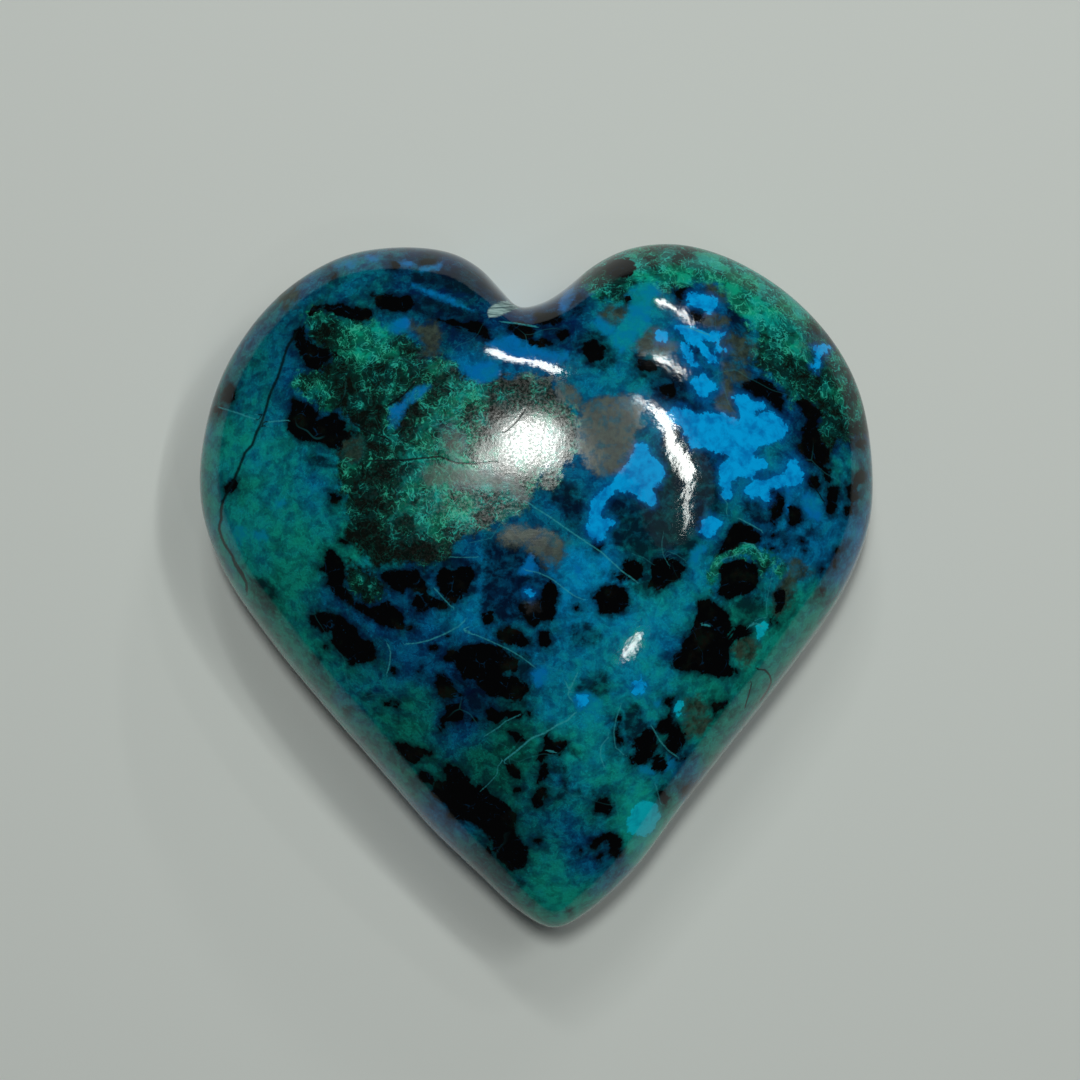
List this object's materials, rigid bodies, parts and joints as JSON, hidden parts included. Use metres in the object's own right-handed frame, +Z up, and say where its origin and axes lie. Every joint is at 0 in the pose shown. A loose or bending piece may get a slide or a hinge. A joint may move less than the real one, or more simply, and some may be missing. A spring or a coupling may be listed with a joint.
{
  "type": "chrysocolla heart stone",
  "caption": "Polished puffed heart of solid stone, domed on top, with a rounded rim, a notch between its lobes and a small flat underneath to lie on.",
  "frame": {"origin": "on the surface that the stone lies on, under the middle of its outline", "axes": "+Z up through the dome, +Y from the tip towards the notch, +X towards the right lobe seen from above with the tip towards the viewer"},
  "size_m": [0.0661, 0.0674, 0.0225],
  "materials": {
    "chrysocolla": "polished"
  },
  "bodies": {
    "root": {"heart_stone": "chrysocolla"}
  },
  "joints": []
}
